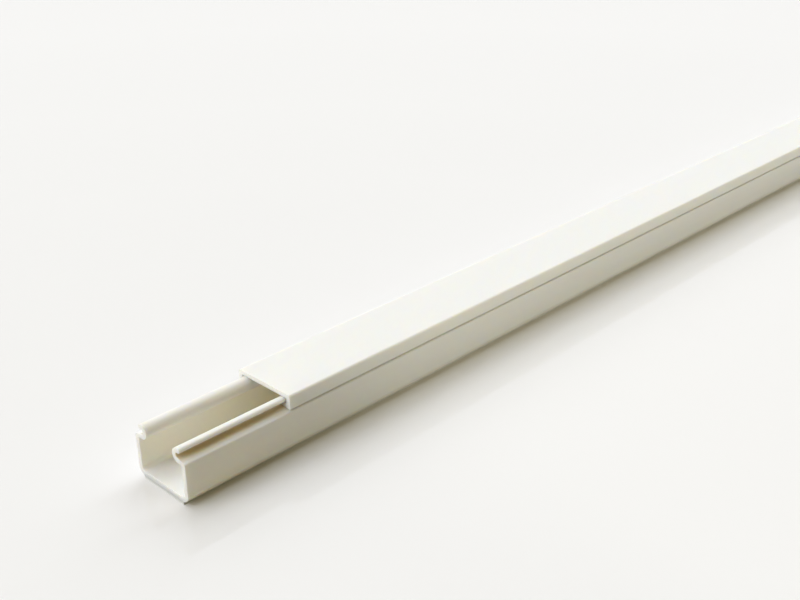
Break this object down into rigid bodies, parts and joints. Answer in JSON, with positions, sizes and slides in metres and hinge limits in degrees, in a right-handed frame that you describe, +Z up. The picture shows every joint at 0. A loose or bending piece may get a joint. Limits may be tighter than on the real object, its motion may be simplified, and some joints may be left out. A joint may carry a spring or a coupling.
{
  "type": "mini cable trunking",
  "caption": "Slim white plastic trunking that hides cables along a wall: a U-shaped channel with curled edge hooks, a clip-on lid that slides along them and a self-adhesive strip underneath.",
  "frame": {"origin": "middle of the underside, on the face of the release liner, halfway along the base", "axes": "+Y along the length, the way the lid is slid back; +X across; +Z up through the lid"},
  "size_m": [0.015, 1.024, 0.0126],
  "materials": {
    "base_plastic": "satin",
    "lid_plastic": "satin",
    "foam_tape": "matte",
    "liner_paper": "satin"
  },
  "bodies": {
    "base": {"base": "base_plastic", "adhesive_tape": "foam_tape", "release_liner": "liner_paper"},
    "lid": {"lid": "lid_plastic"}
  },
  "joints": [
    {"name": "lid_slide", "type": "slide", "parent": "base", "child": "lid", "axis": [0, 1, 0], "range_m": [-0.024, 0.926]}
  ]
}
